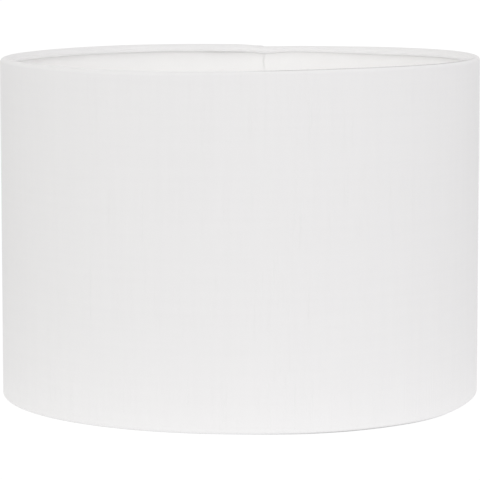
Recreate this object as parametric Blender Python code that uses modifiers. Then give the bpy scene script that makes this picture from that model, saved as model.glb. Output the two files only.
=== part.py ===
"""A drum lamp shade, standing on its lower rim, in metres, +Z up.

The origin is the middle of the circle that the shade stands on. A woven panel, stuck
to a thin plastic liner, is bent into a cylinder. Its two ends lap at the back (+Y),
with double-sided tape between them. Above and below, the cloth is rolled round a wire
hoop and tucked back up between the hoop and the liner. Three wire arms run in from
the lower hoop to a steel ring that a lampholder clamps, and a loose plastic reducer
sits in that ring for the narrower kind of lampholder.
"""

import math

import bmesh
import bpy
from mathutils import Vector

# Driving dimensions
DIAMETER = 0.350
HEIGHT = 0.250
CLOTH = 0.0004
LINER = 0.0004
TAPE = 0.0002
WIRE = 0.0030
GAP = 0.0003

FITTER_HEIGHT = 0.020  # underside of the steel ring above the base
FITTER_DIAMETER = 0.060
FITTER_HOLE = 0.042
FITTER_THICKNESS = 0.0012
REDUCER_DIAMETER = 0.052
REDUCER_HOLE = 0.029
REDUCER_FLANGE = 0.0015
REDUCER_CHAMFER = 0.0004

SEGMENTS = 60  # round the drum and round every turned piece, so that gaps stay even
WIRE_SIDES = 8
ARM_COUNT = 3
FIRST_ARM = 270  # degrees from +X
ARM_OVERLAP = 0.005  # how far an arm reaches in under the steel ring
ARM_LEAVES = 0.010  # level run from the hoop to the arm's first bend
ARM_RISES = 0.022  # run over which the arm climbs to the steel ring
ARM_BEND = 0.008
ARM_STEPS = 4
SLIT_WIDTH = 0.0044  # cut in the lower hem for each arm
SLIT_PAST = 0.001  # how far the cutter passes the cloth
TUCK_TIP = 0.0005  # how far the tucked edge passes the middle of the hoop
CUT_STEP = 0.0003  # between the last points of a hem that stops below the hoop
HEM_CLEAR = 0.005  # from the hem to where the wall may stand off over the tape

# The lap, in degrees from +X. The panel starts under the lap, runs clockwise seen
# from above, and ends on top of it.
UNDER_END = 83.6
OVER_END = 78.6
TIGHT_UNTIL = 78  # the start of the panel hugs the hoops as far as here
LOOSE_FROM = 48  # and has eased out to the full size of the hem by here
BULGE_FROM = 96  # the end of the panel eases out over the tape from here
BULGE_UNTIL = 90
TUCK_FROM = 114  # the last stretch of hem isn't tucked behind the hoop
TUCK_UNTIL = 96
LINER_CLEAR = 0.4  # between the two ends of the liner
TAPE_INSET = 0.6

# Worked out from the driving dimensions
WIRE_RADIUS = WIRE / 2
LOOSE = CLOTH + GAP  # room for one more turn of cloth at the lap
HOOP_TO_TUCK = WIRE_RADIUS + GAP + CLOTH / 2
HOOP_TO_LINER = HOOP_TO_TUCK + CLOTH / 2 + GAP + LINER / 2
HOOP_TO_WALL = HOOP_TO_LINER + LINER / 2 + GAP + CLOTH / 2
HOOP_RADIUS = DIAMETER / 2 - CLOTH / 2 - LOOSE - HOOP_TO_WALL
HEM_HALF = HOOP_TO_TUCK + LOOSE + CLOTH / 2
LOW_HOOP = HEM_HALF
HIGH_HOOP = HEIGHT - HEM_HALF
TAPE_ROOM = TAPE + GAP
OCTAGON = math.tan(math.radians(22.5))
SHARP_ANGLE = math.radians(40)
WELD = 0.000001


def new_collection(name, hidden=False):
    collection = bpy.data.collections.new(name)
    bpy.context.scene.collection.children.link(collection)
    collection.hide_render = hidden
    return collection


def new_material(name, colour, roughness, metallic=0.0):
    material = bpy.data.materials.new(name)
    material.use_nodes = True
    shader = material.node_tree.nodes["Principled BSDF"]
    shader.inputs["Base Color"].default_value = (*colour, 1.0)
    shader.inputs["Roughness"].default_value = roughness
    shader.inputs["Metallic"].default_value = metallic
    return material


def new_object(name, data, collection, material=None, parent=None):
    obj = bpy.data.objects.new(name, data)
    collection.objects.link(obj)
    obj.parent = parent
    if material is not None:
        data.materials.append(material)
    return obj


def settled(obj):
    """The object again, with its curve or modifiers turned into one welded mesh."""
    bpy.context.view_layer.update()
    graph = bpy.context.evaluated_depsgraph_get()
    mesh = bpy.data.meshes.new_from_object(obj.evaluated_get(graph))
    name, parent, collection = obj.name, obj.parent, obj.users_collection[0]
    matrix = obj.matrix_world.copy()
    bpy.data.objects.remove(obj)
    form = bmesh.new()
    form.from_mesh(mesh)
    bmesh.ops.remove_doubles(form, verts=form.verts, dist=WELD)
    bmesh.ops.recalc_face_normals(form, faces=form.faces)
    form.to_mesh(mesh)
    form.free()
    mesh.shade_smooth()
    mesh.set_sharp_from_angle(angle=SHARP_ANGLE)
    made = new_object(name, mesh, collection, parent=parent)
    made.matrix_world = matrix
    return made


def turned(name, outline, collection, material, parent):
    """A ring turned from a closed outline of (radius, height)."""
    mesh = bpy.data.meshes.new(name)
    count = len(outline)
    points = [(radius, 0.0, height) for radius, height in outline]
    mesh.from_pydata(points, [(i, (i + 1) % count) for i in range(count)], [])
    obj = new_object(name, mesh, collection, material, parent)
    screw = obj.modifiers.new("turn", "SCREW")
    screw.axis = "Z"
    screw.steps = SEGMENTS
    screw.render_steps = SEGMENTS
    screw.use_merge_vertices = True
    screw.merge_threshold = WELD
    return obj


def ramp(value, start, end):
    """0 at start, 1 at end, and straight between."""
    return min(max((value - start) / (end - start), 0.0), 1.0)


def strip_outline(middle, thickness):
    """A closed outline around a line of (radius, height) points, mitred at its corners."""
    line = [Vector(point) for point in middle]
    left, right = [], []
    for i, point in enumerate(line):
        before = (point - line[max(i - 1, 0)]).normalized()
        after = (line[min(i + 1, len(line) - 1)] - point).normalized()
        before = before if i > 0 else after
        after = after if i < len(line) - 1 else before
        across = (before + after).normalized().orthogonal()
        reach = thickness / 2 / across.dot(before.orthogonal())
        left.append(point + across * reach)
        right.append(point - across * reach)
    return left + right[::-1]


def hem_line(size, wall, tuck):
    """Cloth round one hoop, as (radius, height) from the hoop's centre, from the wall
    over the top, down inside, under the hoop and, with tuck at 1, up behind it."""
    near = size * OCTAGON
    corner = size - near
    back = near + tuck * (HOOP_TO_TUCK - near)
    rise = corner * tuck
    step = CUT_STEP * (1 - tuck)
    return [
        (wall, near),
        (wall - corner, size),
        (-near, size),
        (-size, near),
        (-size, -near),
        (-near, -size),
        (back - rise - 2 * step, -size),
        (back - step, rise - size),
        (back, rise - size + tuck * (near + TUCK_TIP)),
    ]


def panel_station(turn):
    """(hem ease, wall stand-off, tuck) after this many degrees along the panel."""
    lap = UNDER_END + 360
    ease = LOOSE * ramp(turn, UNDER_END - TIGHT_UNTIL, UNDER_END - LOOSE_FROM)
    bulge = TAPE_ROOM * ramp(turn, lap - BULGE_FROM, lap - BULGE_UNTIL)
    tuck = 1 - ramp(turn, lap - TUCK_FROM, lap - TUCK_UNTIL)
    return ease, bulge, tuck


def marks_to(end):
    """Degrees along the panel, from its start to here, at the corners of the hoops."""
    step = 360 / SEGMENTS
    first = UNDER_END % step
    count = math.ceil((end - first) / step)
    return [0.0, *(first + i * step for i in range(count)), end]


def cloth_section(turn):
    ease, bulge, tuck = panel_station(turn)
    size = HOOP_TO_TUCK + ease
    wall = HOOP_TO_WALL + ease
    hem = hem_line(size, wall, tuck)
    top = [(HOOP_RADIUS + r, HIGH_HOOP + z) for r, z in hem]
    bottom = [(HOOP_RADIUS + r, LOW_HOOP - z) for r, z in hem]
    stands = HOOP_RADIUS + wall + bulge
    middle = [
        (stands, LOW_HOOP + HEM_HALF + HEM_CLEAR),
        (stands, HIGH_HOOP - HEM_HALF - HEM_CLEAR),
    ]
    return strip_outline(bottom[::-1] + middle + top, CLOTH)


def liner_section(turn):
    ease = panel_station(turn)[0]
    radius = HOOP_RADIUS + HOOP_TO_LINER + ease
    return strip_outline([(radius, LOW_HOOP), (radius, HIGH_HOOP)], LINER)


def tape_section(_turn):
    radius = HOOP_RADIUS + HOOP_TO_WALL + CLOTH / 2 + GAP + TAPE / 2
    inset = HEM_HALF + HEM_CLEAR
    low, high = LOW_HOOP + inset, HIGH_HOOP - inset
    return strip_outline([(radius, low), (radius, high)], TAPE)


def lofted(name, section, marks, collection, material, parent):
    """A sheet whose section changes as it goes round the axis, closed at both ends."""
    form = bmesh.new()
    rings = []
    for turn in marks:
        angle = math.radians(UNDER_END - turn)
        across = Vector((math.cos(angle), math.sin(angle), 0.0))
        ring = [form.verts.new(across * r + Vector((0, 0, z))) for r, z in section(turn)]
        rings.append(ring)
    for ring, following in zip(rings, rings[1:]):
        for i, vert in enumerate(ring):
            form.faces.new((ring[i - 1], vert, following[i], following[i - 1]))
    form.faces.new(rings[0])
    form.faces.new(rings[-1])
    bmesh.ops.recalc_face_normals(form, faces=form.faces)
    mesh = bpy.data.meshes.new(name)
    form.to_mesh(mesh)
    form.free()
    mesh.shade_smooth()
    mesh.set_sharp_from_angle(angle=SHARP_ANGLE)
    return new_object(name, mesh, collection, material, parent)


def make_cloth(parts, cutters, parent):
    linen = new_material("white_linen", (0.86, 0.86, 0.85), 0.9)
    marks = marks_to(360 + UNDER_END - OVER_END)
    cover = lofted("fabric_cover", cloth_section, marks, parts, linen, parent)
    for index, angle in enumerate(arm_angles()):
        slit = make_slit(index, angle, cutters)
        cut = cover.modifiers.new(slit.name, "BOOLEAN")
        cut.operation = "DIFFERENCE"
        cut.object = slit
    return cover


def make_slit(index, angle, cutters):
    """A block through the lower hem's inner layers, from the arm to their raw edge."""
    inner = HOOP_RADIUS - HEM_HALF - SLIT_PAST
    outer = HOOP_RADIUS + HOOP_TO_TUCK + CLOTH / 2 + GAP / 2
    low = LOW_HOOP - WIRE_RADIUS - GAP
    high = LOW_HOOP + HEM_HALF + SLIT_PAST
    form = bmesh.new()
    bmesh.ops.create_cube(form, size=1.0)
    bmesh.ops.scale(form, vec=(outer - inner, SLIT_WIDTH, high - low), verts=form.verts)
    centre = Vector(((inner + outer) / 2, 0, (low + high) / 2))
    bmesh.ops.translate(form, vec=centre, verts=form.verts)
    mesh = bpy.data.meshes.new(f"slit_{index + 1}")
    form.to_mesh(mesh)
    form.free()
    slit = new_object(mesh.name, mesh, cutters)
    slit.rotation_euler.z = math.radians(angle)
    slit.hide_render = True
    slit.display_type = "WIRE"
    return slit


def make_liner(parts, parent):
    plastic = new_material("liner_plastic", (0.88, 0.87, 0.84), 0.45)
    marks = marks_to(360 - LINER_CLEAR)
    return lofted("liner", liner_section, marks, parts, plastic, parent)


def make_tape(parts, parent):
    film = new_material("tape_film", (0.85, 0.85, 0.82), 0.3)
    marks = [TAPE_INSET, UNDER_END - OVER_END - TAPE_INSET]
    return lofted("seam_tape", tape_section, marks, parts, film, parent)


def make_hoop(name, height, parts, material, parent):
    bpy.ops.mesh.primitive_torus_add(
        major_segments=SEGMENTS,
        minor_segments=WIRE_SIDES,
        major_radius=HOOP_RADIUS,
        minor_radius=WIRE_RADIUS,
        location=(0, 0, height),
    )
    hoop = bpy.context.object
    for collection in list(hoop.users_collection):
        collection.objects.unlink(hoop)
    parts.objects.link(hoop)
    hoop.name = name
    hoop.data.name = name
    hoop.parent = parent
    hoop.data.materials.append(material)
    hoop.data.shade_smooth()
    return hoop


def rounded_path(corners, radius, steps):
    """The corners again, with each inner one turned into an arc."""
    path = [corners[0]]
    for before, corner, after in zip(corners, corners[1:], corners[2:]):
        to_before = (before - corner).normalized()
        to_after = (after - corner).normalized()
        half = to_before.angle(to_after) / 2
        run = radius / math.tan(half)
        centre = corner + (to_before + to_after).normalized() * radius / math.sin(half)
        start = (corner + to_before * run - centre).normalized()
        end = (corner + to_after * run - centre).normalized()
        for step in range(steps + 1):
            path.append(centre + start.slerp(end, step / steps) * radius)
    path.append(corners[-1])
    return path


def arm_angles():
    return [(FIRST_ARM + i * 360 / ARM_COUNT) % 360 for i in range(ARM_COUNT)]


def make_arms(parts, material, parent):
    level = FITTER_HEIGHT - GAP - WIRE_RADIUS
    outer = HOOP_RADIUS - WIRE_RADIUS - GAP
    corners = [
        Vector((outer, 0, LOW_HOOP)),
        Vector((outer - ARM_LEAVES, 0, LOW_HOOP)),
        Vector((outer - ARM_LEAVES - ARM_RISES, 0, level)),
        Vector((FITTER_DIAMETER / 2 - ARM_OVERLAP, 0, level)),
    ]
    path = rounded_path(corners, ARM_BEND, ARM_STEPS)
    arms = []
    for index, angle in enumerate(arm_angles()):
        name = f"spider_arm_{index + 1}"
        curve = bpy.data.curves.new(name, "CURVE")
        curve.dimensions = "3D"
        curve.bevel_depth = WIRE_RADIUS
        curve.bevel_resolution = 2
        curve.use_fill_caps = True
        spline = curve.splines.new("POLY")
        spline.points.add(len(path) - 1)
        for point, place in zip(spline.points, path):
            point.co = (*place, 1.0)
        arm = new_object(name, curve, parts, material, parent)
        arm.rotation_euler.z = math.radians(angle)
        arms.append(settled(arm))
    return arms


def make_fitter(parts, material, parent):
    inner, outer = FITTER_HOLE / 2, FITTER_DIAMETER / 2
    low, high = FITTER_HEIGHT, FITTER_HEIGHT + FITTER_THICKNESS
    edge = FITTER_THICKNESS / 4
    outline = [
        (outer - edge, high),
        (outer, high - edge),
        (outer, low + edge),
        (outer - edge, low),
        (inner, low),
        (inner, high),
    ]
    ring = turned("fitter_ring", outline, parts, material, parent)
    return settled(ring)


def make_reducer(parts, parent):
    """The loose reducer, whose origin is on its own axis at the foot of its boss."""
    plastic = new_material("reducer_plastic", (0.85, 0.85, 0.84), 0.35)
    bore, boss = REDUCER_HOLE / 2, FITTER_HOLE / 2 - GAP
    rim = REDUCER_DIAMETER / 2
    seat = FITTER_THICKNESS + GAP
    top = seat + REDUCER_FLANGE
    edge = REDUCER_CHAMFER
    outline = [
        (rim - edge, top),
        (rim, top - edge),
        (rim, seat),
        (boss, seat),
        (boss, edge),
        (boss - edge, 0.0),
        (bore, 0.0),
        (bore, top - edge),
        (bore + edge, top),
    ]
    ring = turned("reducer_ring", outline, parts, plastic, parent)
    ring.location.z = FITTER_HEIGHT
    return settled(ring)


def main():
    for obj in list(bpy.data.objects):
        bpy.data.objects.remove(obj)
    parts = new_collection("drum_lamp_shade")
    cutters = new_collection("drum_lamp_shade_cutters", hidden=True)
    shade = new_object("shade_frame", None, parts)
    steel = new_material("white_coated_steel", (0.80, 0.80, 0.79), 0.4)
    make_cloth(parts, cutters, shade)
    make_liner(parts, shade)
    make_tape(parts, shade)
    make_hoop("top_ring", HIGH_HOOP, parts, steel, shade)
    make_hoop("bottom_ring", LOW_HOOP, parts, steel, shade)
    make_arms(parts, steel, shade)
    make_fitter(parts, steel, shade)
    make_reducer(parts, shade)


main()
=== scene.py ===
"""The looks of a drum lamp shade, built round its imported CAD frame, in metres, +Z up.

The cloth, the liner, the two wire hoops, the spider and both fitter rings are made
again in finer detail where the CAD has them. The film in the lap keeps its CAD shape.
"""

import math

import bmesh
import bpy
import numpy as np
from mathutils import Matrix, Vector, noise


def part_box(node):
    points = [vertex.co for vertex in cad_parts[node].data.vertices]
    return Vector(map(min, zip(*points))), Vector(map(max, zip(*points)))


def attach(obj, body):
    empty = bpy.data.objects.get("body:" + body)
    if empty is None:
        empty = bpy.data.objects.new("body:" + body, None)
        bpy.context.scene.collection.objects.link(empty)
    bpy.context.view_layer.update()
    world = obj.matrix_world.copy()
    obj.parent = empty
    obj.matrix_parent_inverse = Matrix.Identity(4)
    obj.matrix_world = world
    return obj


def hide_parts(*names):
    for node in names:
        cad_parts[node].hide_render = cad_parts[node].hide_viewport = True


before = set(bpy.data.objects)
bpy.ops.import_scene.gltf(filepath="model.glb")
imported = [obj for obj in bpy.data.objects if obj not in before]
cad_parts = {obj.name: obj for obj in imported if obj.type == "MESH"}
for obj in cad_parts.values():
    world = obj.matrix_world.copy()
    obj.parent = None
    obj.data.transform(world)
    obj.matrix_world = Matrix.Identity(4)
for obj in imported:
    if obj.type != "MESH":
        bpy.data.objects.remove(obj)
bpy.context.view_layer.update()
MM = 0.001

# The camera, which stands in front of the shade and looks a little down on it
CAMERA_DISTANCE = 2.2
CAMERA_HEIGHT = 0.377
CAMERA_PITCH = 6.801  # degrees below level
LENS = 225.5

# Sizes that no node's box gives, as in the CAD
CLOTH = 0.4 * MM
LINER = 0.4 * MM
GAP = 0.3 * MM
LOOSE = CLOTH + GAP

# The lap, in degrees from +X. The panel starts under the lap, runs clockwise seen
# from above, and ends on top of it. On its way it eases out by one layer, and near its
# end it bulges over the film, and its tuck between hoop and liner ends.
UNDER_END = 83.6
OVER_END = 78.6
LAP_TURN = 360 + UNDER_END - OVER_END
TIGHT_UNTIL = 78
LOOSE_FROM = 48
BULGE_FROM = 96
BULGE_UNTIL = 90
TUCK_FROM = 108
TUCK_UNTIL = 93
TAPE_ROOM = 0.5 * MM
TAPE_ROOM_FADES = 0.03  # the share of the wall's height that it comes and goes in

# Sizes that the frame gives
HOOP_LOW, HOOP_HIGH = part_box("top_ring")
WIRE_RADIUS = (HOOP_HIGH.z - HOOP_LOW.z) / 2
HOOP_RADIUS = HOOP_HIGH.x - WIRE_RADIUS
TOP_HOOP = (HOOP_LOW.z + HOOP_HIGH.z) / 2
BOTTOM_HOOP = (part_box("bottom_ring")[0].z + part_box("bottom_ring")[1].z) / 2
HOOP_TO_TUCK = WIRE_RADIUS + GAP + CLOTH / 2
HOOP_TO_LINER = HOOP_TO_TUCK + CLOTH / 2 + GAP + LINER / 2
HOOP_TO_WALL = HOOP_TO_LINER + LINER / 2 + GAP + CLOTH / 2
WALL_RADIUS = HOOP_RADIUS + HOOP_TO_WALL + LOOSE

# The cloth's mesh
STATION_STEP = 0.6  # degrees
CREST_STEPS = 18
CREST_POWER = 0.92
CREST_POWER_SWING = 0.20
UNDER_STEPS = 5
BEHIND_STEPS = 5
HEM_POINTS = CREST_STEPS + 1 + UNDER_STEPS + BEHIND_STEPS
BEHIND_ANGLE = 100
BEHIND_LEAST = 0.06
WALL_STEPS = 13
HEM_ROW = 6.5 * MM  # from a hoop to the nearest points of the wall
SLIT_WIDTH = 4.4 * MM
SLIT_ANGLE = 140  # degrees over the crest, where a slit in the lower hem starts
SHARP_ANGLE = math.radians(40)
WELD = 0.001 * MM

# How far the cloth is from even: slow waves in the wall, puckers in the hems, and the
# sag of the hem where the lap makes it heavier
WALL_WAVE = 0.10 * MM
WALL_WAVE_ACROSS = 90 * MM
WALL_WAVE_ALONG = 160 * MM
WALL_WAVE_FADES = 0.15  # the share of the wall's height that it comes and goes in
PUCKER = 0.30 * MM
PUCKER_ACROSS = 9 * MM
PUCKER_ALONG = 14 * MM
SEAM_SAG = 1.3 * MM
SEAM_SAG_AT = 83.7  # degrees from +X
SEAM_SAG_WIDTH = 5

# In the lap, the turned hem of the upper layer is cut back at a slant, and the hem of
# the lower one reaches on under it. The turns are in degrees.
HEM_CUT_BACK = 4.9
HEM_SLANT = 3.0
HEM_UNDER = 5.0
HEM_CUT_RUN = 20
HEM_CUT_FROM = 6 * MM
HEM_TURNED = 12 * MM
HEM_LAID = 2.5 * MM
PRESSED = 0.25 * MM
EDGE_LAID = 0.6  # the strip of the upper layer's edge that is pressed on the lower one

# How far the rims spring out of level, with places in degrees from +X. The upper one
# leans and waves, and dips where the ends of its wire are welded. The lower one stands
# on two places and is bent up at the side of one of them.
TOP_LEAN = 0.40 * MM
TOP_TWIST = 0.54 * MM
TOP_TWIST_AT = -26
TOP_WAVE = 0.35 * MM
TOP_WAVE_AT = 21
WELD_AT = 82.5
WELD_DIP = 0.75 * MM
WELD_DIP_WIDTH = 9.5
FOOT_AT = 309
FOOT_WIDTH = 12
FOOT_RISE = 33
FOOT_LIFT = 1.0 * MM
BENT_AT = 350
BENT_WIDTH = 36
BENT_UP = 2.1 * MM
FOOT_ROOM = 0.1 * MM


def ramp(value, start, end):
    """0 at start, 1 at end, and a smooth step between."""
    share = min(max((value - start) / (end - start), 0.0), 1.0)
    return share * share * (3 - 2 * share)


def round_noise(angle, height, across, along, seed):
    """Smooth noise on the drum that closes on itself, from about -1 to 1. Its patches
    are across wide and along tall."""
    place = Vector((math.cos(angle), math.sin(angle), 0.0)) * (HOOP_RADIUS / across)
    place.z = height / along
    return noise.noise(place + Vector((7.3, 3.1, 5.7)) * seed)


def wall_wave(angle, height, share):
    """How far the wall waves out here, at this share of the way up it."""
    wave = WALL_WAVE * round_noise(angle, height, WALL_WAVE_ACROSS, WALL_WAVE_ALONG, 1)
    fades = WALL_WAVE_FADES
    return wave * ramp(share, 0.0, fades) * (1 - ramp(share, 1 - fades, 1.0))


def bump_round(angle, middle, width):
    """1 at the middle, given in degrees, and smoothly down to 0 at a width away."""
    away = (math.degrees(angle) - middle + 180) % 360 - 180
    return 1 - ramp(abs(away), 0.0, width)


def off_level(angle, share):
    """How far up the shade springs here, with a share of 0 at its lower rim and 1 at its
    upper one."""
    top = TOP_LEAN * math.cos(angle)
    top += TOP_TWIST * math.cos(2 * (angle - math.radians(TOP_TWIST_AT)))
    top += TOP_WAVE * math.cos(4 * (angle - math.radians(TOP_WAVE_AT)))
    top -= WELD_DIP * bump_round(angle, WELD_AT, WELD_DIP_WIDTH)
    from_stand = abs((math.degrees(angle) - FOOT_AT + 90) % 180 - 90)
    foot = FOOT_ROOM + FOOT_LIFT * ramp(from_stand, FOOT_WIDTH, FOOT_WIDTH + FOOT_RISE)
    foot += BENT_UP * bump_round(angle, BENT_AT, BENT_WIDTH)
    return foot * (1 - share) + top * share


# ---------------------------------------------------------------- materials


NOISE_SPAN = (0.3, 0.7)  # where nearly all of a noise lies


def add_node(tree, kind, values=None, **settings):
    """A shader node, with its sockets set to a value or linked to another socket."""
    made = tree.nodes.new("ShaderNode" + kind)
    for name, value in settings.items():
        setattr(made, name, value)
    for key, value in (values or {}).items():
        if isinstance(value, bpy.types.NodeSocket):
            tree.links.new(value, made.inputs[key])
        else:
            made.inputs[key].default_value = value
    return made


def maths(tree, operation, *values):
    made = add_node(tree, "Math", dict(enumerate(values)), operation=operation)
    return made.outputs[0]


def between(tree, value, low, high, to_low=0.0, to_high=1.0):
    """The value taken from one range to another, and held there."""
    values = {"Value": value, "From Min": low, "From Max": high}
    values.update({"To Min": to_low, "To Max": to_high})
    return add_node(tree, "MapRange", values).outputs["Result"]


def stretched_noise(tree, vector, scale, detail=2.0):
    """Noise on a vector, with its own scale on each axis, in patches per metre."""
    scaled = add_node(tree, "VectorMath", {0: vector, 1: scale}, operation="MULTIPLY")
    values = {"Vector": scaled.outputs[0], "Scale": 1.0, "Detail": detail}
    return add_node(tree, "TexNoise", values).outputs["Fac"]


def new_material(name, roughness, specular=0.5):
    """(material, its node tree, its shader)"""
    material = bpy.data.materials.new(name)
    material.use_nodes = True
    tree = material.node_tree
    shader = tree.nodes["Principled BSDF"]
    shader.inputs["Roughness"].default_value = roughness
    shader.inputs["Specular IOR Level"].default_value = specular
    return material, tree, shader


def mixed(tree, share, low, high):
    """A colour that goes from low to high, each a colour or a socket, with the share."""
    mix = tree.nodes.new("ShaderNodeMix")
    mix.data_type = "RGBA"
    tree.links.new(share, mix.inputs["Factor"])
    sockets = [socket for socket in mix.inputs if socket.type == "RGBA"]
    for socket, colour in zip(sockets, (low, high)):
        if isinstance(colour, bpy.types.NodeSocket):
            tree.links.new(colour, socket)
        else:
            socket.default_value = (*colour, 1.0)
    return next(socket for socket in mix.outputs if socket.type == "RGBA")


def tinted(tree, shader, low, high, share):
    """The shader's colour goes from low to high with a share from 0 to 1."""
    tree.links.new(mixed(tree, share, low, high), shader.inputs["Base Color"])


def roughened(tree, shader, share, low, high):
    """The shader's roughness goes from low to high with a noise."""
    rough = between(tree, share, *NOISE_SPAN, low, high)
    tree.links.new(rough, shader.inputs["Roughness"])


def bumped(tree, shader, height, distance):
    values = {"Height": height, "Distance": distance, "Strength": 1.0}
    bump = add_node(tree, "Bump", values)
    tree.links.new(bump.outputs["Normal"], shader.inputs["Normal"])


THREAD = 0.55 * MM
WEAVE_DEPTH = 0.05 * MM
SLUB_HEIGHT = 1.8  # in depths of the weave
CLOTH_DARK = (0.834, 0.829, 0.832)
CLOTH_LIGHT = (0.870, 0.865, 0.868)

# The shares of the step from dark to light that the weave, the upright streaks and the
# level bands take
WEAVE_SHARE = 0.45
STREAK_SHARE = 0.22
BAND_SHARE = 0.16

# A painted shadow line along the upper crest, on the right of the front, where the crest
# meets the liner behind it. Places are in degrees along the panel and up the flat cut from
# its middle
CREST_SHADOW_COLOUR = (0.45, 0.445, 0.445)
CREST_SHADOW_HEIGHT = 126.6 * MM
CREST_SHADOW_WIDTH = 1.5 * MM
CREST_SHADOW_FROM = 90
CREST_SHADOW_UNTIL = 174
CREST_SHADOW_COMES = 25
CREST_SHADOW_GOES = 8


def crest_shadow_share(tree, parts):
    """How much a painted shadow line greys the upper crest at the right of the front. The
    parts are those of a place on the flat cut."""
    off = maths(tree, "SUBTRACT", parts.outputs["Y"], CREST_SHADOW_HEIGHT)
    line = between(tree, maths(tree, "ABSOLUTE", off), 0.0, CREST_SHADOW_WIDTH, 1.0, 0.0)
    start, full, fading, end = (
        math.radians(turn) * WALL_RADIUS
        for turn in (
            CREST_SHADOW_FROM,
            CREST_SHADOW_FROM + CREST_SHADOW_COMES,
            CREST_SHADOW_UNTIL - CREST_SHADOW_GOES,
            CREST_SHADOW_UNTIL,
        )
    )
    comes = between(tree, parts.outputs["X"], start, full)
    goes = between(tree, parts.outputs["X"], fading, end, 1.0, 0.0)
    return maths(tree, "MULTIPLY", maths(tree, "MULTIPLY", comes, goes), line)


def cloth_material():
    """A plain-woven white cloth with slubs, on the flat cut's own metres."""
    material, tree, shader = new_material("white_linen", 0.9, specular=0.25)
    shader.inputs["Sheen Weight"].default_value = 0.06
    shader.inputs["Sheen Roughness"].default_value = 0.5
    flat = add_node(tree, "UVMap", uv_map="flat_cut").outputs["UV"]
    wander = stretched_noise(tree, flat, (120, 40, 0))
    shift = maths(tree, "MULTIPLY", maths(tree, "SUBTRACT", wander, 0.5), THREAD)
    parts = add_node(tree, "SeparateXYZ", {0: flat})
    along = maths(tree, "ADD", parts.outputs["X"], shift)
    up = maths(tree, "ADD", parts.outputs["Y"], shift)

    def ridge(place):
        wave = maths(tree, "COSINE", maths(tree, "MULTIPLY", place, math.tau / THREAD))
        return between(tree, wave, -1.0, 1.0)

    def half_wave(place):
        return maths(tree, "SINE", maths(tree, "MULTIPLY", place, math.pi / THREAD))

    over = maths(tree, "MULTIPLY", half_wave(along), half_wave(up))
    warp_share = between(tree, over, -1.0, 1.0, 0.2, 1.0)
    weft_share = between(tree, over, -1.0, 1.0, 1.0, 0.2)
    warp = maths(tree, "MULTIPLY", ridge(along), warp_share)
    weft = maths(tree, "MULTIPLY", ridge(up), weft_share)
    weave = maths(tree, "MAXIMUM", warp, weft)

    upright = stretched_noise(tree, flat, (1000, 14, 0), detail=1.0)
    level = stretched_noise(tree, flat, (16, 1100, 0), detail=1.0)
    slubs = maths(
        tree,
        "ADD",
        between(tree, upright, 0.60, 0.78),
        between(tree, level, 0.66, 0.82, 0.0, 0.6),
    )
    streaks = stretched_noise(tree, flat, (170, 6, 0), detail=3.0)
    bands = stretched_noise(tree, flat, (6, 230, 0), detail=2.0)
    uneven = maths(
        tree,
        "ADD",
        between(tree, streaks, *NOISE_SPAN, 0.0, STREAK_SHARE),
        between(tree, bands, *NOISE_SPAN, 0.0, BAND_SHARE),
    )
    share = maths(tree, "ADD", uneven, maths(tree, "MULTIPLY", weave, WEAVE_SHARE))
    plain = mixed(tree, share, CLOTH_DARK, CLOTH_LIGHT)
    # the painted shadow line along the upper crest goes over the cloth's own colour
    with_crest_shadow = mixed(tree, crest_shadow_share(tree, parts), plain, CREST_SHADOW_COLOUR)
    tree.links.new(with_crest_shadow, shader.inputs["Base Color"])
    height = maths(tree, "ADD", weave, maths(tree, "MULTIPLY", slubs, SLUB_HEIGHT))
    bumped(tree, shader, height, WEAVE_DEPTH)
    roughened(tree, shader, streaks, 0.86, 0.94)
    return material


LINER_DARK = (0.877, 0.873, 0.869)
LINER_LIGHT = (0.892, 0.888, 0.884)
STEEL_DARK = (0.78, 0.78, 0.77)
STEEL_LIGHT = (0.83, 0.83, 0.82)
REDUCER_DARK = (0.84, 0.84, 0.828)
REDUCER_LIGHT = (0.87, 0.87, 0.858)
FILM_DARK = (0.82, 0.82, 0.78)
FILM_LIGHT = (0.87, 0.87, 0.84)


def liner_material():
    """Satin white plastic sheet, with the faint grain of what it is stuck to."""
    material, tree, shader = new_material("liner_plastic", 0.45, specular=0.4)
    place = add_node(tree, "TexCoord").outputs["Object"]
    cloud = stretched_noise(tree, place, (30, 30, 12), detail=3.0)
    grain = stretched_noise(tree, place, (900, 900, 300), detail=2.0)
    tinted(tree, shader, LINER_DARK, LINER_LIGHT, cloud)
    height = maths(tree, "ADD", grain, maths(tree, "MULTIPLY", cloud, 4.0))
    bumped(tree, shader, height, 0.02 * MM)
    roughened(tree, shader, cloud, 0.38, 0.52)
    return material


def steel_material():
    """White powder coat, with an orange-peel skin and faint clouds."""
    material, tree, shader = new_material("white_coated_steel", 0.4)
    shader.inputs["Coat Weight"].default_value = 0.15
    shader.inputs["Coat Roughness"].default_value = 0.25
    place = add_node(tree, "TexCoord").outputs["Object"]
    peel = stretched_noise(tree, place, (1400, 1400, 1400), detail=2.0)
    cloud = stretched_noise(tree, place, (60, 60, 60), detail=3.0)
    tinted(tree, shader, STEEL_DARK, STEEL_LIGHT, cloud)
    bumped(tree, shader, peel, 0.05 * MM)
    roughened(tree, shader, cloud, 0.34, 0.48)
    return material


def reducer_material():
    """Glossy moulded plastic, with faint flow marks."""
    material, tree, shader = new_material("reducer_plastic", 0.3)
    place = add_node(tree, "TexCoord").outputs["Object"]
    flow = stretched_noise(tree, place, (140, 140, 300), detail=4.0)
    fine = stretched_noise(tree, place, (3000, 3000, 3000), detail=1.0)
    tinted(tree, shader, REDUCER_DARK, REDUCER_LIGHT, flow)
    bumped(tree, shader, fine, 0.008 * MM)
    roughened(tree, shader, flow, 0.24, 0.36)
    return material


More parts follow.
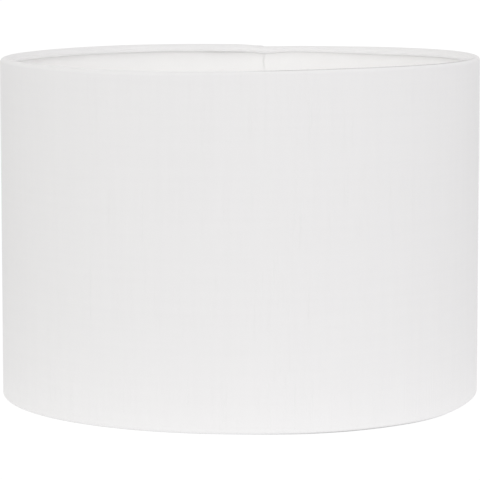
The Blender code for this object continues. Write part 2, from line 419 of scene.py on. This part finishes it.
def tape_material():
    """Clear double-sided film over white glue, in faint blotches."""
    material, tree, shader = new_material("tape_film", 0.3)
    place = add_node(tree, "TexCoord").outputs["Object"]
    blotch = stretched_noise(tree, place, (200, 200, 80), detail=3.0)
    tinted(tree, shader, FILM_DARK, FILM_LIGHT, blotch)
    bumped(tree, shader, blotch, 0.05 * MM)
    roughened(tree, shader, blotch, 0.22, 0.40)
    return material


# ---------------------------------------------------------------- meshes


def new_piece(name, mesh, material, body, slot, *nodes):
    """An object that rides on a body and stands for its CAD nodes."""
    obj = bpy.data.objects.new(name, mesh)
    bpy.context.scene.collection.objects.link(obj)
    mesh.materials.append(material)
    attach(obj, body)
    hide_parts(*nodes)
    return obj


def grid_mesh(name, points, flat, left_out=None):
    """A sheet through rows of points, with each one's place on the flat cut as UVs."""
    rows, columns = points.shape[:2]
    number = np.arange(rows * columns).reshape(rows, columns)
    cells = [number[:-1, :-1], number[:-1, 1:], number[1:, 1:], number[1:, :-1]]
    faces = np.stack(cells, axis=-1).reshape(-1, 4)
    if left_out is not None:
        faces = faces[~left_out.reshape(-1)]
    mesh = bpy.data.meshes.new(name)
    mesh.from_pydata(points.reshape(-1, 3).tolist(), [], faces.tolist())
    layer = mesh.uv_layers.new(name="flat_cut")
    layer.data.foreach_set("uv", flat.reshape(-1, 2)[faces].astype(np.float32).ravel())
    return mesh


def thickened(mesh, thickness):
    """The sheet again as a closed one of this thickness, half on each side."""
    helper = bpy.data.objects.new(mesh.name, mesh)
    bpy.context.scene.collection.objects.link(helper)
    solid = helper.modifiers.new("thickness", "SOLIDIFY")
    solid.thickness = thickness
    solid.offset = 0
    solid.use_even_offset = True
    bpy.context.view_layer.update()
    graph = bpy.context.evaluated_depsgraph_get()
    made = bpy.data.meshes.new_from_object(helper.evaluated_get(graph))
    made.name = mesh.name
    bpy.data.objects.remove(helper)
    form = bmesh.new()
    form.from_mesh(made)
    bmesh.ops.remove_doubles(form, verts=form.verts, dist=WELD)
    loose = [vert for vert in form.verts if not vert.link_faces]
    bmesh.ops.delete(form, geom=loose, context="VERTS")
    form.to_mesh(made)
    form.free()
    made.shade_smooth()
    made.set_sharp_from_angle(angle=SHARP_ANGLE)
    return made


def swept_mesh(name, rings, closed):
    """A skin over rings of points. It runs round and shuts, or it is capped."""
    form = bmesh.new()
    made = [[form.verts.new(point) for point in ring] for ring in rings]
    pairs = list(zip(made, made[1:]))
    if closed:
        pairs.append((made[-1], made[0]))
    for ring, following in pairs:
        for i, vert in enumerate(ring):
            form.faces.new((ring[i - 1], vert, following[i], following[i - 1]))
    if not closed:
        form.faces.new(made[0])
        form.faces.new(made[-1])
    bmesh.ops.recalc_face_normals(form, faces=form.faces)
    mesh = bpy.data.meshes.new(name)
    form.to_mesh(mesh)
    form.free()
    mesh.shade_smooth()
    mesh.set_sharp_from_angle(angle=SHARP_ANGLE)
    return mesh


# ---------------------------------------------------------------- cloth and liner


def panel_station(turn):
    """(hem ease, wall stand-off, tuck) after this many degrees along the panel."""
    lap = UNDER_END + 360
    ease = LOOSE * ramp(turn, UNDER_END - TIGHT_UNTIL, UNDER_END - LOOSE_FROM)
    bulge = TAPE_ROOM * ramp(turn, lap - BULGE_FROM, lap - BULGE_UNTIL)
    tuck = 1 - ramp(turn, lap - TUCK_FROM, lap - TUCK_UNTIL)
    return ease, bulge, tuck


def hem_curve(size, wall, tuck, power):
    """Cloth round one hoop, as (radius, height) from the hoop's centre: from the wall
    over the top, down inside, under the hoop and, with tuck at 1, up behind it. Size is
    how far it keeps from the centre, and wall how far out the wall is. The lower the
    power, the squarer the crest."""
    middle, half = (wall - size) / 2, (wall + size) / 2
    curve = []
    for i in range(CREST_STEPS + 1):
        angle = math.pi * i / CREST_STEPS
        across = math.copysign(abs(math.cos(angle)) ** power, math.cos(angle))
        curve.append((middle + half * across, size * abs(math.sin(angle)) ** power))
    for i in range(1, UNDER_STEPS + 1):
        angle = math.pi / 2 * i / UNDER_STEPS
        curve.append((-size * math.cos(angle), -size * math.sin(angle)))
    for i in range(1, BEHIND_STEPS + 1):
        share = max(tuck, BEHIND_LEAST) * i / BEHIND_STEPS
        angle = math.radians(BEHIND_ANGLE) * share
        out = HOOP_TO_TUCK * math.sin(min(angle, math.pi / 2))
        curve.append((out, -size * math.cos(angle)))
    return curve


def pucker_shares():
    """How much each point of a hem may pucker, in the order of hem_curve."""
    crest = [ramp(i / CREST_STEPS, 0.3, 0.9) for i in range(CREST_STEPS + 1)]
    under = [1 - 0.7 * i / UNDER_STEPS for i in range(1, UNDER_STEPS + 1)]
    behind = [0.3 * (1 - i / BEHIND_STEPS) for i in range(1, BEHIND_STEPS + 1)]
    return crest + under + behind


def sag_shares():
    """How much each point of a hem may sag away from its hoop, in the same order."""
    crest = [ramp(i / CREST_STEPS, 0.6, 1.0) for i in range(CREST_STEPS + 1)]
    behind = [1 - i / BEHIND_STEPS for i in range(1, BEHIND_STEPS + 1)]
    return crest + [1.0] * UNDER_STEPS + behind


def height_share(height):
    """0 at the lower hoop and 1 at the upper one, and held there."""
    return min(max((height - BOTTOM_HOOP) / (TOP_HOOP - BOTTOM_HOOP), 0.0), 1.0)


def wall_shares():
    """The wall's points, from the lower hoop, 0, to the upper one, 1."""
    near = HEM_ROW / (TOP_HOOP - BOTTOM_HOOP)
    even = [i / WALL_STEPS for i in range(1, WALL_STEPS)]
    return [near, *even, 1 - near]


def cloth_section(turn):
    """The panel's section after this many degrees, before it puckers: (points as
    (radius, height), the share of each in the puckers, and its share in the sag)"""
    angle = math.radians(UNDER_END - turn)
    ease, bulge, tuck = panel_station(turn)
    power = CREST_POWER - CREST_POWER_SWING * math.cos(angle)
    pressed = ease - PRESSED * ramp(turn, LAP_TURN - HEM_CUT_RUN / 2, LAP_TURN)
    hem = hem_curve(HOOP_TO_TUCK + pressed, HOOP_TO_WALL + pressed, tuck, power)
    top = [(HOOP_RADIUS + r, TOP_HOOP + z) for r, z in hem]
    bottom = [(HOOP_RADIUS + r, BOTTOM_HOOP - z) for r, z in hem][::-1]
    laid = ramp(turn, LAP_TURN - EDGE_LAID, LAP_TURN)
    fades = TAPE_ROOM_FADES
    wall = []
    for share in wall_shares():
        height = BOTTOM_HOOP + (TOP_HOOP - BOTTOM_HOOP) * share
        stands = bulge * ramp(share, 0.0, fades) * (1 - ramp(share, 1 - fades, 1.0))
        stands = stands * (1 - laid) - PRESSED * laid
        stands += wall_wave(angle, height, share)
        wall.append((HOOP_RADIUS + HOOP_TO_WALL + ease + stands, height))
    plain = [0.0] * len(wall)
    puckers = np.array(pucker_shares()[::-1] + plain + pucker_shares())
    sags = np.array(sag_shares()[::-1] + plain + sag_shares())
    return np.array(bottom + wall + top), puckers, sags


def hem_cuts(turn, places, half):
    """How many degrees each point of a section is moved back along the panel, at the
    ends of the lap. Its place is from the flat cut's middle, and half is a hem's start."""
    to_end = max(1 - (LAP_TURN - turn) / HEM_CUT_RUN, 0.0)
    to_start = max(1 - turn / HEM_CUT_RUN, 0.0)
    cuts = []
    for place in places:
        in_hem = ramp(abs(place), half - HEM_CUT_FROM, half)
        slant = HEM_SLANT * ramp(abs(place), half, half + HEM_TURNED)
        under = HEM_UNDER * ramp(abs(place), half, half + HEM_LAID)
        cuts.append((HEM_CUT_BACK * in_hem + slant) * to_end + under * to_start)
    return cuts


def cloth_row(turn):
    """(points, places on the flat cut) up the panel, after this many degrees."""
    line, puckers, sags = cloth_section(turn)
    steps = np.gradient(line, axis=0)
    outward = np.stack([steps[:, 1], -steps[:, 0]], axis=1)
    outward /= np.linalg.norm(outward, axis=1)[:, None]
    places = np.concatenate([[0.0], np.linalg.norm(np.diff(line, axis=0), axis=1)])
    places = np.cumsum(places)
    places -= places[-1] / 2
    cut_back = hem_cuts(turn, places, -places[HEM_POINTS - 1])
    angles = [math.radians(UNDER_END - turn + back) for back in cut_back]
    waves = [
        0.5 + 0.5 * round_noise(own, z + place, PUCKER_ACROSS, PUCKER_ALONG, 2)
        for own, z, place in zip(angles, line[:, 1], places)
    ]
    near_seam = [bump_round(own, SEAM_SAG_AT, SEAM_SAG_WIDTH) for own in angles]
    moved = PUCKER * puckers * np.array(waves) + SEAM_SAG * sags * np.array(near_seam)
    line = line + outward * moved[:, None]
    points = [
        (r * math.cos(own), r * math.sin(own), z + off_level(own, height_share(z)))
        for own, (r, z) in zip(angles, line)
    ]
    runs = (math.radians(turn) - np.radians(cut_back)) * WALL_RADIUS
    return np.array(points), np.column_stack([runs, places])


def arm_names():
    return sorted(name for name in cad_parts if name.startswith("spider_arm"))


def arm_angle(name):
    """The arm's direction from +X, in degrees."""
    low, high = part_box(name)
    middle = (low + high) / 2
    return math.degrees(math.atan2(middle.y, middle.x)) % 360


def cloth_stations():
    """(degrees along the panel, whether the lower hem is slit from here to the next)"""
    half = math.degrees(SLIT_WIDTH / 2 / (HOOP_RADIUS - HOOP_TO_TUCK - LOOSE))
    slits = []
    for name in arm_names():
        middle = (UNDER_END - arm_angle(name)) % 360
        slits.append((middle - half, middle + half))
    count = round(LAP_TURN / STATION_STEP)
    even = [LAP_TURN * i / count for i in range(count + 1)]
    near = STATION_STEP / 2
    kept = [
        turn
        for turn in even
        if all(abs(turn - edge) > near for slit in slits for edge in slit)
    ]
    turns = sorted(kept + [edge for slit in slits for edge in slit])
    slit_here = [any(a <= turn < b for a, b in slits) for turn in turns]
    return turns, slit_here


def make_cloth():
    turns, slit_here = cloth_stations()
    rows = [cloth_row(turn) for turn in turns]
    points = np.array([row[0] for row in rows])
    flat = np.array([row[1] for row in rows])
    slit_from = HEM_POINTS - 1 - round(CREST_STEPS * SLIT_ANGLE / 180)
    left_out = np.zeros((len(turns) - 1, points.shape[1] - 1), bool)
    for i, here in enumerate(slit_here[:-1]):
        left_out[i, :slit_from] = here
    mesh = thickened(grid_mesh("shade_cloth", points, flat, left_out), CLOTH)
    cloth = new_piece(
        "shade_cloth", mesh, cloth_material(), "shade", "shade_cloth", "fabric_cover"
    )


LINER_STEP = 1.0  # degrees
LINER_WALL_STEPS = 72
LINER_BUTT = 0.17 * MM
LINER_WOBBLE = 2.4 * MM
LINER_WOBBLE_LENGTH = 6 * MM


def make_liner():
    """A sheet whose two ends meet behind the lap, in a cut that isn't quite straight."""
    count = round(360 / LINER_STEP)
    rows, flats = [], []
    for i in range(count + 1):
        row, flat = [], []
        for j in range(LINER_WALL_STEPS + 1):
            share = j / LINER_WALL_STEPS
            height = BOTTOM_HOOP + (TOP_HOOP - BOTTOM_HOOP) * share
            along = Vector((height / LINER_WOBBLE_LENGTH, 0.0, 4.0))
            wobble = LINER_WOBBLE * noise.noise(along)
            trim = math.degrees((LINER_BUTT / 2 + wobble) / HOOP_RADIUS)
            trim_end = math.degrees((LINER_BUTT / 2 - wobble) / HOOP_RADIUS)
            turn = trim + (360 - trim - trim_end) * i / count
            angle = math.radians(UNDER_END - turn)
            ease = panel_station(turn)[0]
            radius = HOOP_RADIUS + HOOP_TO_LINER + ease + wall_wave(angle, height, share)
            z = height + off_level(angle, share)
            row.append((radius * math.cos(angle), radius * math.sin(angle), z))
            flat.append((math.radians(turn) * radius, height))
        rows.append(row)
        flats.append(flat)
    sheet = grid_mesh("shade_liner", np.array(rows), np.array(flats))
    mesh = thickened(sheet, LINER)
    new_piece("shade_liner", mesh, liner_material(), "shade", "liner_plastic", "liner")


# ---------------------------------------------------------------- wire and fittings

WIRE_SIDES = 16
HOOP_STEPS = 240
BUTT_WELD = 0.25 * MM
BUTT_WELD_WIDTH = 1.6  # degrees
LOWER_WELD_AT = 320
ARM_BEND = 8 * MM
ARM_BEND_STEPS = 10
ARM_LEAVES = 10 * MM  # where an arm bends up, in from the hoop
ARM_ARRIVES = 32 * MM  # where it bends level again
ARM_OVERLAP = 5 * MM  # how far it reaches in under the fitter ring
ARM_TIP = ((0.9 * MM, 1.0), (0.4 * MM, 0.93), (0.0, 0.72))  # (from its end, thickness)
HOOP_BLOB = Vector((1.5, 1.7, 1.5)) * MM
HOOP_BLOB_IN = 0.1 * MM  # from the arm's outer end
FITTER_BLOB = Vector((2.2, 1.9, 0.6)) * MM
FITTER_BLOB_IN = 2.4 * MM  # from the fitter's rim
FITTER_BLOB_DOWN = 0.5 * MM  # from its lower face


def make_hoop(name, node, height, weld_at, steel):
    """A wire hoop, with the swelling of the butt weld where its two ends meet."""
    rings = []
    for i in range(HOOP_STEPS):
        angle = math.tau * i / HOOP_STEPS
        radius = WIRE_RADIUS + BUTT_WELD * bump_round(angle, weld_at, BUTT_WELD_WIDTH)
        ring = []
        for k in range(WIRE_SIDES):
            side = math.tau * k / WIRE_SIDES
            out = HOOP_RADIUS + radius * math.cos(side)
            z = height + radius * math.sin(side) + off_level(angle, height_share(height))
            ring.append((out * math.cos(angle), out * math.sin(angle), z))
        rings.append(ring)
    mesh = swept_mesh(name, rings, closed=True)
    new_piece(name, mesh, steel, "shade", "white_coated_steel", node)


def rounded_path(corners, radius, steps):
    """The corners again, with each inner one turned into an arc."""
    path = [corners[0]]
    for before, corner, after in zip(corners, corners[1:], corners[2:]):
        to_before = (before - corner).normalized()
        to_after = (after - corner).normalized()
        half = to_before.angle(to_after) / 2
        run = radius / math.tan(half)
        centre = corner + (to_before + to_after).normalized() * radius / math.sin(half)
        start = (corner + to_before * run - centre).normalized()
        end = (corner + to_after * run - centre).normalized()
        for step in range(steps + 1):
            path.append(centre + start.slerp(end, step / steps) * radius)
    path.append(corners[-1])
    return path


def add_blob(form, centre, size, seed):
    """A lump of weld metal, wider than it is tall and not quite even."""
    made = bmesh.ops.create_icosphere(form, subdivisions=3, radius=1.0)
    for vert in made["verts"]:
        rough = 1 + 0.12 * noise.noise(vert.co * 1.7 + Vector((seed, 0, 0)))
        vert.co = centre + Vector(a * b for a, b in zip(vert.co * rough, size))


def make_arm(name, steel):
    """One arm of the spider, welded to the lower hoop and under the fitter ring."""
    fitter_low, fitter_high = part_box("fitter_ring")
    level = fitter_low.z - GAP - WIRE_RADIUS
    outer = HOOP_RADIUS - WIRE_RADIUS - GAP
    corners = [
        Vector((outer, 0, BOTTOM_HOOP)),
        Vector((outer - ARM_LEAVES, 0, BOTTOM_HOOP)),
        Vector((outer - ARM_ARRIVES, 0, level)),
        Vector((fitter_high.x - ARM_OVERLAP, 0, level)),
    ]
    path = rounded_path(corners, ARM_BEND, ARM_BEND_STEPS)
    tip = path.pop()
    radii = [WIRE_RADIUS] * len(path)
    for back, share in ARM_TIP:
        path.append(tip + Vector((back, 0, 0)))
        radii.append(WIRE_RADIUS * share)
    rings = []
    for i, (point, radius) in enumerate(zip(path, radii)):
        before, after = path[max(i - 1, 0)], path[min(i + 1, len(path) - 1)]
        run = (after - before).normalized()
        lift = Vector((-run.z, 0, run.x))
        ring = []
        for k in range(WIRE_SIDES):
            side = math.tau * k / WIRE_SIDES
            across = Vector((0, math.cos(side), 0)) + lift * math.sin(side)
            ring.append(point + across * radius)
        rings.append(ring)
    mesh = swept_mesh(name, rings, closed=False)
    form = bmesh.new()
    form.from_mesh(mesh)
    seed = arm_angle(name) / 10
    at_hoop = Vector((outer - HOOP_BLOB_IN, 0, BOTTOM_HOOP))
    under_fitter = fitter_low.z - FITTER_BLOB_DOWN
    at_fitter = Vector((fitter_high.x - FITTER_BLOB_IN, 0, under_fitter))
    add_blob(form, at_hoop, HOOP_BLOB, seed)
    add_blob(form, at_fitter, FITTER_BLOB, seed + 1)
    for face in form.faces:
        face.smooth = True
    turn = math.radians(arm_angle(name))
    turned = Vector((math.cos(turn), math.sin(turn), 0))
    aside = Vector((-math.sin(turn), math.cos(turn), 0))
    for vert in form.verts:
        lift = off_level(turn, 0.0) * ramp(vert.co.x, fitter_high.x, outer)
        vert.co = turned * vert.co.x + aside * vert.co.y + Vector((0, 0, vert.co.z + lift))
    form.to_mesh(mesh)
    form.free()
    wire = name.replace("arm", "wire")
    new_piece(wire, mesh, steel, "shade", "white_coated_steel", name)


def turned_mesh(name, outline, steps, relief):
    """A ring turned from a closed outline of (radius, height), with relief added to the
    height of each point."""
    rings = []
    for i in range(steps):
        angle = math.tau * i / steps
        ring = []
        for r, z in outline:
            lifted = z + relief(angle, r, z)
            ring.append((r * math.cos(angle), r * math.sin(angle), lifted))
        rings.append(ring)
    return swept_mesh(name, rings, closed=True)


def rounded_corner(centre, radius, start, end, steps=4):
    """Points of an arc, as (radius, height), between two angles in degrees."""
    points = []
    for i in range(steps + 1):
        angle = math.radians(start + (end - start) * i / steps)
        out, up = radius * math.cos(angle), radius * math.sin(angle)
        points.append((centre[0] + out, centre[1] + up))
    return points


FITTER_STEPS = 240
FITTER_HOLE = 21 * MM  # radius
DIMPLE = 0.3 * MM
DIMPLE_IN = 2.6 * MM  # from the rim to its middle
DIMPLE_FLAT = 0.6 * MM  # radius
DIMPLE_RADIUS = 1.9 * MM


def make_fitter(steel):
    """The stamped steel ring, with a shallow dimple over each arm's weld."""
    low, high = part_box("fitter_ring")
    inner, outer, bottom, top = FITTER_HOLE, high.x, low.z, high.z
    soft, crisp = 0.45 * MM, 0.15 * MM
    outline = rounded_corner((outer - soft, top - soft), soft, 90, 0)
    outline += rounded_corner((outer - crisp, bottom + crisp), crisp, 0, -90, 2)
    outline += rounded_corner((inner + crisp, bottom + crisp), crisp, 270, 180, 2)
    outline += rounded_corner((inner + soft, top - soft), soft, 180, 90)
    steps = 8
    first, last = outline[-1][0], outline[0][0]
    outline += [(first + (last - first) * i / steps, top) for i in range(1, steps)]
    middles = [math.radians(arm_angle(name)) for name in arm_names()]
    weld_radius = outer - DIMPLE_IN

    def dimple(angle, radius, height):
        if height < top - WELD:
            return 0.0
        aways = [
            math.hypot(
                radius * math.cos(angle) - weld_radius * math.cos(middle),
                radius * math.sin(angle) - weld_radius * math.sin(middle),
            )
            for middle in middles
        ]
        return -DIMPLE * (1 - ramp(min(aways), DIMPLE_FLAT, DIMPLE_RADIUS))

    mesh = turned_mesh("fitter_washer", outline, FITTER_STEPS, dimple)
    new_piece(
        "fitter_washer", mesh, steel, "shade", "white_coated_steel", "fitter_ring"
    )


REDUCER_STEPS = 288
REDUCER_HOLE = 14.5 * MM  # radius
REDUCER_RIBS = 24
RIB_DEPTH = 0.25 * MM
RIBS_FROM, RIBS_FULL_FROM = 3 * MM, 4 * MM  # out from the hole
RIBS_FULL_UNTIL, RIBS_UNTIL = 2 * MM, 1.2 * MM  # in from the rim


def make_reducer():
    """The moulded reducer, with fine ribs on its flange for a grip."""
    low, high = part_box("reducer_ring")
    fitter_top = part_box("fitter_ring")[1].z
    rim, top, foot = high.x, high.z, low.z
    seat = fitter_top + GAP
    bore, boss = REDUCER_HOLE, FITTER_HOLE - GAP
    edge = 0.4 * MM
    outline = rounded_corner((rim - edge, top - edge), edge, 90, 0)
    outline += [(rim, seat + 0.1 * MM), (rim - 0.1 * MM, seat), (boss, seat)]
    outline += rounded_corner((boss - edge, foot + edge), edge, 0, -90)
    outline += [(bore + 0.15 * MM, foot), (bore, foot + 0.15 * MM)]
    outline += rounded_corner((bore + edge, top - edge), edge, 180, 90)
    flange = rim - edge - (bore + edge)
    steps = 10
    outline += [(bore + edge + flange * i / steps, top) for i in range(1, steps)]

    def rib(angle, radius, height):
        if height < top - WELD:
            return 0.0
        band = ramp(radius, bore + RIBS_FROM, bore + RIBS_FULL_FROM)
        band *= 1 - ramp(radius, rim - RIBS_FULL_UNTIL, rim - RIBS_UNTIL)
        return -RIB_DEPTH * band * ramp(math.cos(REDUCER_RIBS * angle), -0.2, 0.4)

    mesh = turned_mesh("shade_reducer", outline, REDUCER_STEPS, rib)
    new_piece(
        "shade_reducer",
        mesh,
        reducer_material(),
        "reducer",
        "reducer_plastic",
        "reducer_ring",
    )


# ---------------------------------------------------------------- stage

SKY_LEVEL = 0.95
SKY_FALL = 0.10
SKY_LEFT = (1.0, 0.995, 0.975)
SKY_RIGHT = (1.0, 0.99, 1.0)

# The floor's light: all over, more close to the shade, still more inside it, and how
# narrow a gap darkens it. What the camera sees of it is one level.
FLOOR_LEVEL = 0.63
GLOW = 0.23
GLOW_UNTIL = 0.34  # metres from the axis
GLOW_INSIDE = 0.36
CONTACT = 1.5 * MM
FLOOR_SEEN = 0.95
FLOOR_RADIUS = 30.0


def make_camera():
    camera = bpy.data.objects.new("camera", bpy.data.cameras.new("camera"))
    bpy.context.scene.collection.objects.link(camera)
    camera.data.lens = LENS
    camera.location = (0, -CAMERA_DISTANCE, CAMERA_HEIGHT)
    camera.rotation_euler = (math.radians(90 - CAMERA_PITCH), 0, 0)
    bpy.context.scene.camera = camera


def make_world():
    """A white studio, a little dimmer overhead. The camera sees it plain white."""
    world = bpy.data.worlds.new("studio")
    world.use_nodes = True
    tree = world.node_tree
    light = tree.nodes["Background"]
    direction = add_node(tree, "TexCoord").outputs["Generated"]
    parts = add_node(tree, "SeparateXYZ", {0: direction})
    sideways = between(tree, parts.outputs["X"], -1.0, 1.0)
    tree.links.new(mixed(tree, sideways, SKY_LEFT, SKY_RIGHT), light.inputs["Color"])
    overhead = between(tree, parts.outputs["Z"], 0.0, 1.0, SKY_LEVEL, SKY_LEVEL - SKY_FALL)
    tree.links.new(overhead, light.inputs["Strength"])
    seen = add_node(tree, "Background", {"Strength": 1.0, "Color": (1, 1, 1, 1)})
    path = add_node(tree, "LightPath")
    mix = add_node(tree, "MixShader")
    tree.links.new(path.outputs["Is Camera Ray"], mix.inputs[0])
    tree.links.new(light.outputs[0], mix.inputs[1])
    tree.links.new(seen.outputs[0], mix.inputs[2])
    tree.links.new(mix.outputs[0], tree.nodes["World Output"].inputs["Surface"])
    bpy.context.scene.world = world


def make_floor():
    """A pale floor that lights the shade from below, more so close to it, and less in
    the narrow gap under its hem. The camera sees one level."""
    mesh = bpy.data.meshes.new("floor")
    form = bmesh.new()
    bmesh.ops.create_circle(form, cap_ends=True, segments=96, radius=FLOOR_RADIUS)
    form.to_mesh(mesh)
    form.free()
    material, tree, shader = new_material("pale_floor", 0.8, specular=0.0)
    shader.inputs["Base Color"].default_value = (0.10, 0.10, 0.10, 1.0)
    shader.inputs["Emission Color"].default_value = (1, 1, 1, 1)
    place = add_node(tree, "TexCoord").outputs["Object"]
    away = add_node(tree, "VectorMath", {0: place}, operation="LENGTH").outputs["Value"]
    near = between(tree, away, GLOW_UNTIL, WALL_RADIUS, 0.0, GLOW)
    under = between(tree, away, WALL_RADIUS, WALL_RADIUS - 20 * MM, 0.0, GLOW_INSIDE)
    level = maths(tree, "ADD", maths(tree, "ADD", near, under), FLOOR_LEVEL)
    seen = add_node(tree, "LightPath").outputs["Is Camera Ray"]
    gap = add_node(tree, "AmbientOcclusion", {"Distance": CONTACT}, samples=8)
    lit = maths(tree, "MULTIPLY", level, gap.outputs["AO"])
    strength = between(tree, seen, 0.0, 1.0, lit, FLOOR_SEEN)
    tree.links.new(strength, shader.inputs["Emission Strength"])
    mesh.materials.append(material)
    floor = bpy.data.objects.new("floor", mesh)
    bpy.context.scene.collection.objects.link(floor)


def add_light(name, place, target, width, height, power):
    """A soft rectangle of light, which the camera doesn't see."""
    data = bpy.data.lights.new(name, "AREA")
    data.shape = "RECTANGLE"
    data.size = width
    data.size_y = height
    data.energy = power
    light = bpy.data.objects.new(name, data)
    bpy.context.scene.collection.objects.link(light)
    light.location = place
    aim = Vector(target) - Vector(place)
    light.rotation_euler = aim.to_track_quat("-Z", "Y").to_euler()
    light.visible_camera = False


def make_lights():
    key, fill = (-0.5, -3.0, 0.95), (2.4, -0.7, 0.12)
    add_light("key", key, target=(0, 0, 0.1), width=1.2, height=1.0, power=14.0)
    add_light("fill", fill, target=(0, 0, 0.12), width=0.8, height=0.4, power=4.0)


make_camera()
make_world()
make_floor()
make_lights()
bpy.context.scene.view_settings.view_transform = "Standard"

make_cloth()
make_liner()
coated = steel_material()
make_hoop("top_hoop", "top_ring", TOP_HOOP, WELD_AT, coated)
make_hoop("bottom_hoop", "bottom_ring", BOTTOM_HOOP, LOWER_WELD_AT, coated)
for arm in arm_names():
    make_arm(arm, coated)
make_fitter(coated)
make_reducer()
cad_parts["seam_tape"].material_slots[0].material = tape_material()
